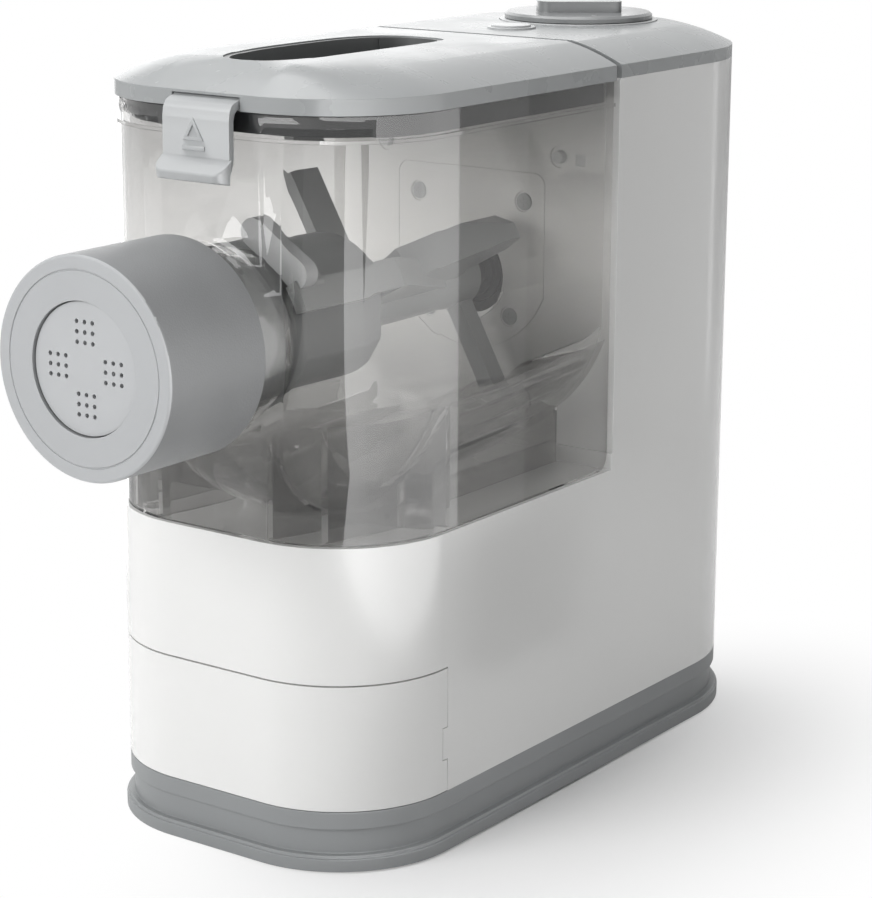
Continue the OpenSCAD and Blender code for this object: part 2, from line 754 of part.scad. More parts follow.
module extrusion_tube() color("#4b4d50") difference() {
  union() {
    rod(tube_bore + 3, -cap_front + 9, -hopper_rear);
    // collar inside the cap, which carries its turning lugs
    rod(31.2, -cap_front + 7.8, -cap_rear - 12);
    for (a = [0:120:240]) translate([0, 0, axis_z]) rotate([0, a, 0])
      along_y(-cap_front + 18, -cap_front + 22) intersection() {
        circle(r = 34.2);
        translate([24, -6]) square([20, 12]);
      }
    // collar that fills the clear neck
    rod(31.2, -cap_rear - 13, -body_front + 1.5);
    rod(hopper_r, -body_front + 1, -90);
    along_y(-90, -hopper_rear) intersection() {
      translate([0, axis_z + hopper_up]) circle(r = hopper_r, $fn = 96);
      translate([-hopper_side, 0]) square([2 * hopper_side, 2 * axis_z]);
    }
  }
  rod(tube_bore, -cap_front, -hopper_rear + 1);
  // dough window in the side of the hopper
  translate([-60, -90, axis_z - 12]) cube([60, 30, 24]);
}

// Core and flight of the auger, in section
module screw_section() difference() {
  union() {
    circle(r = 10.6, $fn = 12);
    polygon([[0, -4], [15, -2.6], [19.4, -1.6], [19.6, 0], [19.4, 1.6], [15, 2.6], [0, 4]]);
  }
  circle(r = hook_shaft_r + gap, $fn = 12);
}

module auger_screw() color("#5a5c5f")
  translate([0, -hook_shoulder_y, axis_z]) rotate([90, 0, 0])
    linear_extrude(height = 96, twist = 880, slices = 60, $fn = 8) screw_section();

module sector(a0, a1, r0, r1) {
  far = 2 * r1;
  intersection() {
    difference() {
      circle(r = r1, $fn = 96);
      circle(r = r0, $fn = 96);
    }
    polygon([[0, 0], far * [cos(a0), sin(a0)], far * [cos((a0 + a1) / 2), sin((a0 + a1) / 2)],
      far * [cos(a1), sin(a1)]]);
  }
}

// Blade in the XZ plane at an angle, from radius r0 to r1
module blade(angle, r0, r1, thick, y0, y1)
  along_y(y0, y1) translate([0, axis_z]) rotate(angle) translate([r0, -thick / 2]) square([r1 - r0, thick]);

// Plate that holds the axis and leans at an angle, drawn as radius by Y
module radial(angle, t0, t1)
  translate([0, 0, axis_z]) rotate([0, -angle, 0]) translate([0, 0, t0])
    linear_extrude(height = t1 - t0) children();

module kneading_hook() color("#4f5154") difference() {
  union() {
    rod(hook_shaft_r, -146, -hook_shoulder_y + 1);
    rod(hub_r, -hook_shoulder_y, hub_rear);
    // flange that closes the rear of the extrusion tube
    rod(tube_bore - 0.4, -hopper_rear - 5, -hopper_rear + 0.4);
    // long arm that sweeps round the extrusion tube
    along_y(-arm_front, -hopper_rear + 1) translate([0, axis_z]) sector(arm_low, arm_high, arm_in, arm_out);
    // web from the arm to the hub
    radial(27.7, -5.5, 5.5) polygon([[8, -hopper_rear + gap], [arm_out - 0.4, -hopper_rear + gap],
      [arm_out - 2, -hopper_rear + 7], [21, -9], [12, 12], [8, 12]]);
    // rear wing, bevelled on its outer side
    intersection() {
      radial(40, -5.3, 8)
        polygon([[8, -16], [20, -16], [36.8, web_rear], [26.6, web_rear], [16, 22], [8, 22]]);
      along_y(-17, web_rear + 1) translate([0, axis_z]) rotate(40)
        polygon([[0, -5.3], [0, 8], [29.8, 8], [35.6, 0.8], [34.4, -5.3]]);
    }
    // scraper of the front wall, with its foot on the arm
    along_y(-99.2, -93) translate([0, axis_z]) rotate(57)
      stadium([scraper_r, -11], [scraper_r, 11], 5.3);
    along_y(-94, -86) translate([0, axis_z]) rotate(46)
      stadium([34.6, -7], [34.6, 7], 2.4);
    // front and rear blades
    blade(118.3, 8, 56.6, 4.4, -34.5, -18);
    blade(-61.7, 8, 52, 6.6, 27, 35.5);
  }
  translate([0, hub_rear - 12, axis_z]) rotate([-90, 30, 0]) cylinder(r = hex_r + 0.35, h = 14, $fn = 6);
}

// ---- mixing chamber ----

module chamber_shell() difference() {
  union() {
    slab(chamber_low, wall_top) plan_part(-chamber_in, -body_front, chamber_rear);
    slab(chamber_top - bead_h, chamber_top) plan_part(-0.4, -body_front, chamber_rear);
  }
  slab(chamber_low - 1, wall_top + 1)
    plan_part(-chamber_in - chamber_t, -body_front, chamber_rear - chamber_t);
}

// Space that the hook sweeps, grown by e: a slight cone that falls to the front and bends up there
module trough_space(e) translate([0, -bend_y, axis_z]) rotate([trough_tilt - 90, 0, 0]) {
  cylinder(r1 = trough_r + e, r2 = trough_rear_r + e, h = bend_y + chamber_rear + 3, $fn = 128);
  rotate_extrude($fn = 128) intersection() {
    union() {
      translate([bend_in, 0]) circle(r = bend_r + e, $fn = 96);
      translate([0, -bend_r - e]) square([bend_in, bend_r + e]);
    }
    translate([0, -100]) square([100, 110]);
  }
}

// Outer wall of the chamber with its neck, open below
module mixing_chamber() color("#dfe6ea", 0.35) difference() {
  union() {
    chamber_shell();
    rod(neck_out, -cap_rear + 0.4, -body_front + chamber_in + 1);
    // bead for the clip
    translate([-12, -body_front + chamber_in - 0.8, 252]) cube([24, 1, 1.6]);
  }
  rod(neck_r, -cap_rear - 1, -body_front + chamber_in + chamber_t + 1);
  rod(coupling_hole_r, chamber_rear - chamber_t - 1, chamber_rear + 1);
  // under the trough the rear is open between the side walls
  difference() {
    translate([-half_w + chamber_in + chamber_t, chamber_rear - chamber_t - 1, chamber_low - 5])
      cube([2 * (half_w - chamber_in - chamber_t), chamber_t + 2, trough_high - chamber_low + 5]);
    trough_space(trough_t);
  }
  // rounded lower corners at the rear
  difference() {
    translate([-80, chamber_rear - corner_r, chamber_low - 1]) cube([160, corner_r + 1, corner_r + 1]);
    translate([-81, chamber_rear - corner_r, chamber_low + corner_r])
      rotate([0, 90, 0]) cylinder(r = corner_r, h = 162);
  }
}

// Trough with the walls that carry it, welded into the outer wall all round
module kneading_trough() color("#dfe6ea", 0.35) intersection() {
  slab(chamber_low, trough_high)
    plan_part(weld - chamber_in - chamber_t, -body_front, chamber_rear - chamber_t + weld);
  difference() {
    union() {
      trough_space(trough_t);
      translate([-half_w, -cross_y - chamber_t, trough_low]) cube([2 * half_w, chamber_t, 54]);
      for (x = front_rib_xs) translate([x - rib_t / 2, -body_front, trough_low])
        cube([rib_t, body_front - cross_y - 1, 48]);
      for (s = [-1, 1]) translate([s * side_rib_x - rib_t / 2, -body_front, trough_low])
        cube([rib_t, body_front + chamber_rear, 48]);
    }
    trough_space(0);
  }
}

// ---- lid ----

module ellipse_2d(a, b) polygon([for (i = [0:55]) [a * cos(360 * i / 56), b * sin(360 * i / 56)]]);

module lid() color("#c4c6c8") difference() {
  intersection() {
    crown(0, rim_low);
    slab(rim_low, 300) plan_part(0, -body_front - 5, lid_rear);
  }
  intersection() {
    crown(2.8, rim_low - 2);
    slab(rim_low - 2, 300) plan_part(-5, -body_front + 5, lid_rear - 4);
  }
  translate([0, -inlet_y, 0]) linear_extrude(height = 300) ellipse_2d(inlet_a, inlet_b);
  // notch and pin holes of the clip
  translate([-15.1, -body_front - 3, rim_low - 1]) cube([30.2, 7.6, clip_notch_top - rim_low + 1]);
  translate([-20, -hinge_y, hinge_z]) rotate([0, 90, 0]) cylinder(r = 1.15, h = 40, $fn = 32);
}

module lid_grille() color("#77797b") translate([0, -inlet_y, 0]) {
  difference() {
    intersection() {
      translate([0, 0, rim_low - 2]) linear_extrude(height = 20) ellipse_2d(inlet_a, inlet_b);
      translate([0, inlet_y, 0]) crown(0.5, rim_low - 4);
    }
    translate([0, 0, rim_low + 3]) linear_extrude(height = 20) ellipse_2d(inlet_a - 2.3, inlet_b - 2.5);
    for (i = [-7:7]) translate([-12, 6.2 * i - 1.7, rim_low - 5]) cube([24, 3.4, 20]);
  }
}

module lid_seal() color("#606366") difference() {
  slab(chamber_top - 1.2, rim_low)
    plan_part(-chamber_in - chamber_t - 0.5, -body_front, lid_rear - chamber_t - 0.6);
  slab(chamber_top - 2, rim_low + 1)
    plan_part(-chamber_in - chamber_t - 3, -body_front, lid_rear - chamber_t - 3.2);
}

module lid_clip() color("#b9bbbd") difference() {
  intersection() {
    along_y(-125, -100) soft_rect(-14.8, 246, 14.8, rim_low + 12, 5);
    union() {
      translate([-14.8, 0, 0]) rotate([90, 0, 90]) linear_extrude(height = 29.6) {
        translate([-hinge_y, hinge_z]) circle(r = hinge_r, $fn = 32);
        polygon([[-hinge_y, hinge_z], [-hinge_y - 1.5, hinge_z + 1.6], [-112.8, rim_low + 3.2],
          [-114.7, rim_low + 2.2], [-115.9, rim_low + 0.1], [-116.4, rim_low - 3], [-116.4, 254.6],
          [-117.6, 250.4], [-119.8, 247], [-118.2, 246.2], [-115.6, 249.4], [-114, 254], [-114, rim_low - 3],
          [-113.2, rim_low - 0.6], [-111.4, rim_low + 1]]);
      }
      // bead that rides over the chamber's bead
      translate([-10, -116, 249.8]) cube([20, 4.4, 1.4]);
    }
  }
  translate([-20, -hinge_y, hinge_z]) rotate([0, 90, 0]) cylinder(r = 1.15, h = 40, $fn = 32);
}

module clip_pin() color("#c3c6c9")
  translate([-17.6, -hinge_y, hinge_z]) rotate([0, 90, 0]) cylinder(r = 1.1, h = 35.2, $fn = 32);

// ---- one line per node ----

base_plinth();
bottom_plate();
rubber_feet();
bottom_screws();
main_housing();
vent_grille();
top_cover();
cord_gland();
shield_plate();
shield_screws();
motor_stator();
motor_rotor();
motor_cradle();
motor_pinion();
cooling_fan();
lay_shaft();
lay_gear();
lay_pinion();
output_gear();
drive_shaft();
drive_coupling();
gearbox_front();
gearbox_rear();
gearbox_posts();
shaft_seal();
main_board();
transformer();
capacitor();
control_board();
dial_ring();
control_knob();
button_ring();
start_button();
sensor_pin_left();
sensor_pin_right();
microswitch();
floor_pegs();
drawer_front();
drawer_tray();
spare_disc_slots();
spare_disc_ring();
spare_disc_wide();
mixing_chamber();
kneading_trough();
lid();
lid_grille();
lid_seal();
lid_clip();
clip_pin();
extrusion_tube();
shaping_disc();
front_cap();
kneading_hook();
auger_screw();
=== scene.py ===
"""Electric pasta maker: looks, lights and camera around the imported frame."""
import json
import math

import bmesh
import bpy
from mathutils import Matrix, Vector


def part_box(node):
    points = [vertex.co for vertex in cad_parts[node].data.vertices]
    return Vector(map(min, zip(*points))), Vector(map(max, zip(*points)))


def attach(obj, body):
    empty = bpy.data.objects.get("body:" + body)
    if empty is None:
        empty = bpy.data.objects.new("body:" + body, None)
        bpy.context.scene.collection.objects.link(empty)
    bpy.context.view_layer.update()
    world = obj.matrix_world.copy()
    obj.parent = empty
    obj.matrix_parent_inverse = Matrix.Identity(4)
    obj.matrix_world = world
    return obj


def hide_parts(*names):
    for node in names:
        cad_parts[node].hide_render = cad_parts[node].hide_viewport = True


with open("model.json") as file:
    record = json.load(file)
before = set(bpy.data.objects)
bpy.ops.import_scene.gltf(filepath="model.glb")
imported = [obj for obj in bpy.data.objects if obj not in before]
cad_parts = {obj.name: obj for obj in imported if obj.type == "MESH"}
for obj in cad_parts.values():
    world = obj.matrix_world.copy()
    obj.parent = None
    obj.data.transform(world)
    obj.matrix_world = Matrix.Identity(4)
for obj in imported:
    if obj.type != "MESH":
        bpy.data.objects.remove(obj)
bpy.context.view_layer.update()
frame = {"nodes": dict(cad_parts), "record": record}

MM = 0.001
RIGHT_ANGLE = math.radians(90)

# ---- where the viewer stands ----

CAMERA_PLACE = (0.5961, -0.8054, 0.3840)
CAMERA_AZIMUTH = math.radians(35.697)
CAMERA_PITCH = math.radians(14.337)
CAMERA_ROLL = math.radians(0.234)
CAMERA_LENS = 107.40
CAMERA_CLIP = 0.05


def add_camera():
    """Camera at the eye's place, turned about the vertical, tipped down and rolled."""
    data = bpy.data.cameras.new("studio_camera")
    data.lens = CAMERA_LENS
    data.clip_start = CAMERA_CLIP
    camera = bpy.data.objects.new("studio_camera", data)
    bpy.context.scene.collection.objects.link(camera)
    az, el, roll = CAMERA_AZIMUTH, CAMERA_PITCH, CAMERA_ROLL
    ahead = Vector((-math.sin(az) * math.cos(el), math.cos(az) * math.cos(el), -math.sin(el)))
    side = Vector((math.cos(az), math.sin(az), 0.0))
    up = side.cross(ahead)
    right = side * math.cos(roll) + up * math.sin(roll)
    top = up * math.cos(roll) - side * math.sin(roll)
    turn = Matrix((right, top, -ahead)).transposed().to_4x4()
    camera.matrix_world = Matrix.Translation(CAMERA_PLACE) @ turn
    bpy.context.scene.camera = camera


# ---- shader nodes ----


def put(tree, socket, value):
    """Links another node's output to the socket, or sets the socket to a plain value."""
    if isinstance(value, bpy.types.NodeSocket):
        tree.links.new(value, socket)
    else:
        socket.default_value = value


def put_all(tree, node, values):
    """Links or sets several inputs of a node by their names."""
    for label, value in values.items():
        put(tree, node.inputs[label], value)


def maths(tree, operation, *values):
    """Output of a Math node over numbers and other outputs."""
    node = tree.nodes.new("ShaderNodeMath")
    node.operation = operation
    for socket, value in zip(node.inputs, values):
        put(tree, socket, value)
    return node.outputs[0]


def vector_maths(tree, operation, *values):
    """Outputs of a Vector Math node over vectors and other outputs."""
    node = tree.nodes.new("ShaderNodeVectorMath")
    node.operation = operation
    for socket, value in zip(node.inputs, values):
        put(tree, socket, value)
    return node.outputs


def scaled(tree, vector, scale):
    """A vector or colour times the output of another node."""
    node = tree.nodes.new("ShaderNodeVectorMath")
    node.operation = "SCALE"
    put_all(tree, node, {"Vector": vector, "Scale": scale})
    return node.outputs[0]


def noise(tree, coords, scale, detail):
    """Output of a Noise Texture."""
    node = tree.nodes.new("ShaderNodeTexNoise")
    put_all(tree, node, {"Vector": coords, "Scale": scale, "Detail": detail})
    return node.outputs["Fac"]


def mapped(tree, value, low, high, to_low, to_high, kind="LINEAR"):
    """Output of a Map Range node, which takes low..high to to_low..to_high."""
    node = tree.nodes.new("ShaderNodeMapRange")
    node.interpolation_type = kind
    put_all(tree, node, {
        "Value": value, "From Min": low, "From Max": high, "To Min": to_low, "To Max": to_high,
    })
    return node.outputs[0]


def object_place(tree):
    """The place of each point on the object itself."""
    return tree.nodes.new("ShaderNodeTexCoord").outputs["Object"]


def object_axis(tree, axis):
    """The object's own X, Y or Z at each point."""
    parts = tree.nodes.new("ShaderNodeSeparateXYZ")
    tree.links.new(object_place(tree), parts.inputs[0])
    return parts.outputs[axis]


def mix_shaders(tree, share, first, second):
    """The first shader where share is 0 and the second where it is 1."""
    node = tree.nodes.new("ShaderNodeMixShader")
    for socket, source in zip(node.inputs, (share, first, second)):
        tree.links.new(source, socket)
    return node.outputs[0]


def new_material(name):
    """Material with nodes, and its node tree."""
    material = bpy.data.materials.new(name)
    material.use_nodes = True
    return material, material.node_tree


def seen_directly(tree, path):
    """1 for rays that come from the camera, also through the clear plastic."""
    return maths(tree, "MAXIMUM", path["Is Camera Ray"], path["Is Transmission Ray"])


# ---- materials ----

# Part of the noise's range that is stretched to the full swing of cloudiness and gloss
NOISE_RANGE = (0.3, 0.7)
# Scale and detail of the colour's clouds and of the smears in the gloss, and the detail of the grain
CLOUDS = (14.0, 4.0)
SMEARS = (45.0, 6.0)
GRAIN_DETAIL = 2.0


def new_group(name, inputs, outputs):
    """Shader node group with named float or colour sockets."""
    group = bpy.data.node_groups.new(name, "ShaderNodeTree")
    for label, kind, value in inputs:
        socket = group.interface.new_socket(label, in_out="INPUT", socket_type="NodeSocket" + kind)
        socket.default_value = value
    for label, kind in outputs:
        group.interface.new_socket(label, in_out="OUTPUT", socket_type="NodeSocket" + kind)
    group.nodes.new("NodeGroupInput")
    group.nodes.new("NodeGroupOutput")
    return group


def build_moulded_group():
    """Moulded plastic: a faint cloudiness of colour, uneven gloss and a fine surface grain."""
    group = new_group(
        "moulded_plastic",
        [("Colour", "Color", (0.8, 0.8, 0.8, 1)), ("Cloud", "Float", 0.02), ("Gloss", "Float", 0.3),
         ("Unevenness", "Float", 0.05), ("Grain Scale", "Float", 900.0)],
        [("Colour", "Color"), ("Roughness", "Float"), ("Grain", "Float")],
    )
    take = group.nodes["Group Input"].outputs
    coords = object_place(group)
    clouds = mapped(group, noise(group, coords, *CLOUDS), *NOISE_RANGE, -1.0, 1.0)
    shade = maths(group, "MULTIPLY_ADD", clouds, take["Cloud"], 1.0)
    smears = mapped(group, noise(group, coords, *SMEARS), *NOISE_RANGE, -1.0, 1.0)
    put_all(group, group.nodes["Group Output"], {
        "Colour": scaled(group, take["Colour"], shade),
        "Roughness": maths(group, "MULTIPLY_ADD", smears, take["Unevenness"], take["Gloss"]),
        "Grain": noise(group, coords, take["Grain Scale"], GRAIN_DETAIL),
    })
    return group


MOULDED = build_moulded_group()


def plastic(name, colour, roughness, cloud, uneven, grain, bump,
            coat=0.0, coat_roughness=0.08, metallic=0.0, bump_depth=0.00005):
    """A moulded plastic or plain metal finish, from the shared group and its own numbers."""
    material, tree = new_material(name)
    material.diffuse_color = (*colour, 1)
    moulded = tree.nodes.new("ShaderNodeGroup")
    moulded.node_tree = MOULDED
    put_all(tree, moulded, {
        "Colour": (*colour, 1), "Cloud": cloud, "Gloss": roughness, "Unevenness": uneven,
        "Grain Scale": grain,
    })
    relief = tree.nodes.new("ShaderNodeBump")
    put_all(tree, relief, {
        "Strength": bump, "Distance": bump_depth, "Height": moulded.outputs["Grain"],
    })
    put_all(tree, tree.nodes["Principled BSDF"], {
        "Metallic": metallic, "Coat Weight": coat, "Coat Roughness": coat_roughness,
        "Base Color": moulded.outputs["Colour"], "Roughness": moulded.outputs["Roughness"],
        "Normal": relief.outputs["Normal"],
    })
    return material


# Heights between which the clear walls' colour darkens towards the top and the bottom, as painted shade
# of the lid and seal above and painted shadow under the trough below, and the share that they let through
# at the lower and the upper of the two
PAINTED_SHADE_TOP = (0.225, 0.262, 1.0, 0.78)
PAINTED_SHADOW_BOTTOM = (0.145, 0.200, 0.66, 1.0)
# The thin walls bend the view very little, so their gloss is a coat of the plastic's own index
THIN_WALL_IOR = 1.10
PLASTIC_IOR = 1.5
CLEAR_ROUGHNESS = 0.02


def clear_plastic(name, colour, shade):
    """Clear moulded plastic that lets the lamps through, darkened towards its top and bottom by painted
    shade.
    """
    material, tree = new_material(name)
    shader = tree.nodes["Principled BSDF"]
    height = object_axis(tree, "Z")
    # Painted shade of the lid and seal at the top, and painted shadow under the trough at the bottom
    painted_shade = maths(tree, "MULTIPLY", mapped(tree, height, *PAINTED_SHADE_TOP), mapped(tree, height, *PAINTED_SHADOW_BOTTOM))
    put_all(tree, shader, {
        "Base Color": scaled(tree, colour, painted_shade),
        "Roughness": CLEAR_ROUGHNESS, "IOR": THIN_WALL_IOR, "Transmission Weight": 1.0,
        "Coat Weight": 1.0, "Coat Roughness": CLEAR_ROUGHNESS, "Coat IOR": PLASTIC_IOR,
    })
    open_air = tree.nodes.new("ShaderNodeBsdfTransparent")
    open_air.inputs["Color"].default_value = (*shade, 1)
    shadow = tree.nodes.new("ShaderNodeLightPath").outputs["Is Shadow Ray"]
    mixed = mix_shaders(tree, shadow, shader.outputs[0], open_air.outputs[0])
    tree.links.new(mixed, tree.nodes["Material Output"].inputs["Surface"])
    return material


# Colour, roughness, cloudiness, unevenness of the gloss, and the grain's scale and strength
MOULDINGS = {
    "white_gloss": ((0.80, 0.80, 0.79), 0.22, 0.006, 0.02, 700, 0.012),
    "white_inner": ((0.72, 0.73, 0.73), 0.40, 0.01, 0.04, 900, 0.03),
    "base_grey": ((0.26, 0.27, 0.275), 0.42, 0.02, 0.05, 1100, 0.05),
    "cover_grey": ((0.33, 0.342, 0.346), 0.28, 0.02, 0.04, 1100, 0.04),
    "knob_grey": ((0.24, 0.247, 0.25), 0.26, 0.01, 0.03, 900, 0.02),
    "ring_grey": ((0.50, 0.51, 0.515), 0.30, 0.01, 0.03, 900, 0.02),
    "lid_grey": ((0.33, 0.342, 0.346), 0.28, 0.02, 0.04, 1100, 0.04),
    "clip_grey": ((0.44, 0.452, 0.458), 0.32, 0.02, 0.04, 1100, 0.04),
    "seal_grey": ((0.022, 0.024, 0.026), 0.35, 0.02, 0.05, 800, 0.05),
    "cap_side": ((0.245, 0.25, 0.255), 0.48, 0.03, 0.06, 1500, 0.5),
    "cap_face": ((0.43, 0.44, 0.45), 0.42, 0.02, 0.05, 1500, 0.10),
    "disc_grey": ((0.47, 0.48, 0.49), 0.40, 0.02, 0.05, 1200, 0.05),
    "dark_plastic": ((0.13, 0.135, 0.135), 0.38, 0.03, 0.05, 900, 0.06),
    # The hook's grey is the dark plastic lightened by painted light of the front lamp inside the chamber
    "hook_painted_light_grey": ((0.19, 0.195, 0.195), 0.34, 0.03, 0.05, 900, 0.06),
    # The scraper's lighter grey is painted light of the front lamp on it
    "scraper_painted_light": ((0.30, 0.305, 0.31), 0.34, 0.03, 0.05, 900, 0.06),
    "black_rubber": ((0.02, 0.02, 0.02), 0.7, 0.05, 0.08, 1400, 0.2),
    "seal_rubber": ((0.05, 0.05, 0.052), 0.6, 0.05, 0.08, 1400, 0.15),
    "steel": ((0.55, 0.56, 0.57), 0.28, 0.03, 0.08, 500, 0.08),
    "pin_plastic": ((0.60, 0.61, 0.62), 0.25, 0.01, 0.03, 800, 0.02),
}
# What a few of them have besides
EXTRAS = {
    "white_gloss": {"coat": 1.0, "coat_roughness": 0.16},
    "cap_side": {"bump_depth": 0.0002},
    "steel": {"metallic": 1.0},
}
# Colour, and what is left of the light in the shadow
CLEAR_MOULDINGS = {
    "clear_plastic": ((0.85, 0.845, 0.835), (0.91, 0.91, 0.91)),
    "smoky_plastic": ((0.52, 0.515, 0.50), (0.70, 0.70, 0.70)),
}
FINISHES = {name: plastic(name, *row, **EXTRAS.get(name, {})) for name, row in MOULDINGS.items()}
FINISHES.update({name: clear_plastic(name, *row) for name, row in CLEAR_MOULDINGS.items()})

# ---- shared making steps ----

BODY_OF = {node: body for body, nodes in frame["record"]["behaviour"]["bodies"].items() for node in nodes}
SLOT_OF = {entry["node"]: entry["material_slot"] for entry in frame["record"]["subparts"]}

# Vertices closer than this are one, and triangles that meet flatter than this are one face
MERGE_DISTANCE = 0.000004
FLAT_ANGLE = math.radians(0.4)
# An edge sharper than the first angle is broken, and one sharper than the second is shaded as an edge
BREAK_ANGLE = math.radians(40)
SHADE_ANGLE = math.radians(34)
# The notched shell shades better as triangles
TRIANGLED = ("drawer_front",)


def only(piece):
    """Selects this piece alone and makes it the active one."""
    bpy.ops.object.select_all(action="DESELECT")
    piece.select_set(True)
    bpy.context.view_layer.objects.active = piece


def apply_modifier(piece, kind, **settings):
    """Adds a modifier with these settings and applies it."""
    modifier = piece.modifiers.new(kind.lower(), kind)
    for label, value in settings.items():
        setattr(modifier, label, value)
    only(piece)
    bpy.ops.object.modifier_apply(modifier=modifier.name)


def combine(piece, operation, other):
    """Joins the other mesh to the piece or cuts it out of it, and removes the other."""
    apply_modifier(piece, "BOOLEAN", operation=operation, solver="EXACT", object=other)
    bpy.data.objects.remove(other)


def add_cube(size, place=(0, 0, 0)):
    """Cube of an edge length around a place."""
    bpy.ops.object.select_all(action="DESELECT")
    bpy.ops.mesh.primitive_cube_add(size=size, location=place)
    return bpy.context.object


def settle():
    """Moves the active object's place, turn and scale into its mesh."""
    bpy.ops.object.transform_apply(location=True, rotation=True, scale=True)


def add_block(place, size):
    """Box with its place and size in its mesh."""
    block = add_cube(1, place)
    block.scale = size
    settle()
    return block


def recolour(piece, finish):
    """Gives a piece this finish alone."""
    piece.data.materials.clear()
    piece.data.materials.append(FINISHES[finish])


def finish_piece(piece, body, finish, nodes=()):
    """Gives a piece its finish and its body, and hides the CAD nodes that it stands for."""
    if len(piece.data.materials) < 2:
        recolour(piece, finish)
    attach(piece, body)
    if nodes:
        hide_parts(*nodes)


def merged_copy(node):
    """Copy of a CAD node with its vertices merged, and its triangles into whole faces."""
    piece = bpy.data.objects.new(node + "_finished", frame["nodes"][node].data.copy())
    bpy.context.scene.collection.objects.link(piece)
    only(piece)
    bpy.ops.object.mode_set(mode="EDIT")
    bpy.ops.mesh.select_all(action="SELECT")
    bpy.ops.mesh.remove_doubles(threshold=MERGE_DISTANCE)
    if node not in TRIANGLED:
        bpy.ops.mesh.dissolve_limited(angle_limit=FLAT_ANGLE)
    bpy.ops.object.mode_set(mode="OBJECT")
    return piece


def complete(piece, nodes, finish, edge=0.0):
    """Breaks the piece's edges by edge mm, smooths its curves and stands it in for its nodes."""
    if edge:
        apply_modifier(piece, "BEVEL", width=edge * MM, segments=2, limit_method="ANGLE",
                       angle_limit=BREAK_ANGLE, use_clamp_overlap=True)
    only(piece)
    bpy.ops.object.shade_smooth_by_angle(angle=SHADE_ANGLE)
    apply_modifier(piece, "WEIGHTED_NORMAL", keep_sharp=True)
    finish_piece(piece, BODY_OF[nodes[0]], finish, nodes)


# ---- the lid ----

# The inlet as the CAD cuts it, an ellipse: its middle and its half width and length
INLET_Y, INLET_HALF = -40.4 * MM, (20.3 * MM, 61.5 * MM)
# Vertices in this band of the ellipse, in shares of its size, belong to its edge or its grille
INLET_BAND = (0.86, 1.01)
# Its blunter outline with level edges, and the power that squares its ends
BLUNT_Y, BLUNT_HALF, BLUNT_POWER = -38.0 * MM, (19.4 * MM, 54.0 * MM), 2 / 3
# The crown rises from its foot and its front, over a length, by a height, on a curve of a power
CROWN_FOOT, CROWN_FRONT, CROWN_LENGTH = 276.0 * MM, -111.0 * MM, 46.0 * MM
CROWN_HEIGHT, CROWN_POWER = 9.6 * MM, 2.4
# A vertex this far above the foot rises with the crown, and one of the inlet's band
# that is this far above it keeps its depth below the crown
CROWN_SKIN, CROWN_EDGE = 0.1 * MM, 0.8 * MM
# The ridge is highest at RIDGE_Y and falls away by its bow times the distance squared
RIDGE_TOP, RIDGE_BOW, RIDGE_Y = 285.6 * MM, 0.12, -40.0 * MM
# Most that the crown is raised, where the raise starts and ends along Y, and where it fades along X
LIFT = 2.3 * MM
LIFT_START_Y, LIFT_END_Y = (-111 * MM, -97 * MM), (-92 * MM, -62 * MM)
LIFT_FADE_X = (22 * MM, 52 * MM)
# Height of the chamber's bead, where the seal ends, and the size of the block that cuts it off
SEAL_LOW, SEAL_CUT = 262.4 * MM, 0.4


def smooth_step(value, low, high):
    """0 below low and 1 above high, with a smooth ramp between them."""
    share = min(max((value - low) / (high - low), 0.0), 1.0)
    return share * share * (3 - 2 * share)


def crown_height(y):
    """Height of the crown's front along the middle."""
    ahead = max(1 - (y - CROWN_FRONT) / CROWN_LENGTH, 0)
    return CROWN_FOOT + CROWN_HEIGHT * (1 - ahead ** CROWN_POWER)


def crown_lift(x, y):
    """How far the front of the crown is raised, so that the inlet's edge stays level."""
    along = smooth_step(y, *LIFT_START_Y) * (1 - smooth_step(y, *LIFT_END_Y))
    ridge = RIDGE_TOP - RIDGE_BOW * (y - RIDGE_Y) ** 2
    return min(LIFT * along, max(ridge - crown_height(y), 0)) * (1 - smooth_step(abs(x), *LIFT_FADE_X))


def level_inlet(piece):
    """Raises the crown's front a little and gives the inlet blunt ends."""
    for vertex in piece.data.vertices:
        x, y, z = vertex.co
        across, along = x / INLET_HALF[0], (y - INLET_Y) / INLET_HALF[1]
        distance = math.hypot(across, along)
        if INLET_BAND[0] < distance < INLET_BAND[1]:
            depth = crown_height(y) - z
            sine, cosine = across / distance, along / distance
            x = distance * BLUNT_HALF[0] * math.copysign(abs(sine) ** BLUNT_POWER, sine)
            y = BLUNT_Y + distance * BLUNT_HALF[1] * math.copysign(abs(cosine) ** BLUNT_POWER, cosine)
            if z > CROWN_FOOT + CROWN_EDGE:
                z = crown_height(y) - depth
        if z > CROWN_FOOT + CROWN_SKIN:
            z += crown_lift(x, y)
        vertex.co = (x, y, z)


def trim_seal(seal):
    """The seal's lower edge ends at the bead of the chamber."""
    combine(seal, "DIFFERENCE", add_cube(SEAL_CUT, (0, 0, SEAL_LOW - SEAL_CUT / 2)))


# ---- the clip ----

# Finger lip: its half width, and the corners of its profile in Y and Z, by inward and upward side
LIP_HALF = 15.6 * MM
LIP_PROFILE = {
    (1, 1): (-115.4, 254.9), (-1, 1): (-122.2, 249.6), (-1, -1): (-121.6, 246.6), (1, -1): (-117.2, 245.9),
}
LIP_CORNER, LIP_EDGE = 4.5 * MM, 0.7 * MM
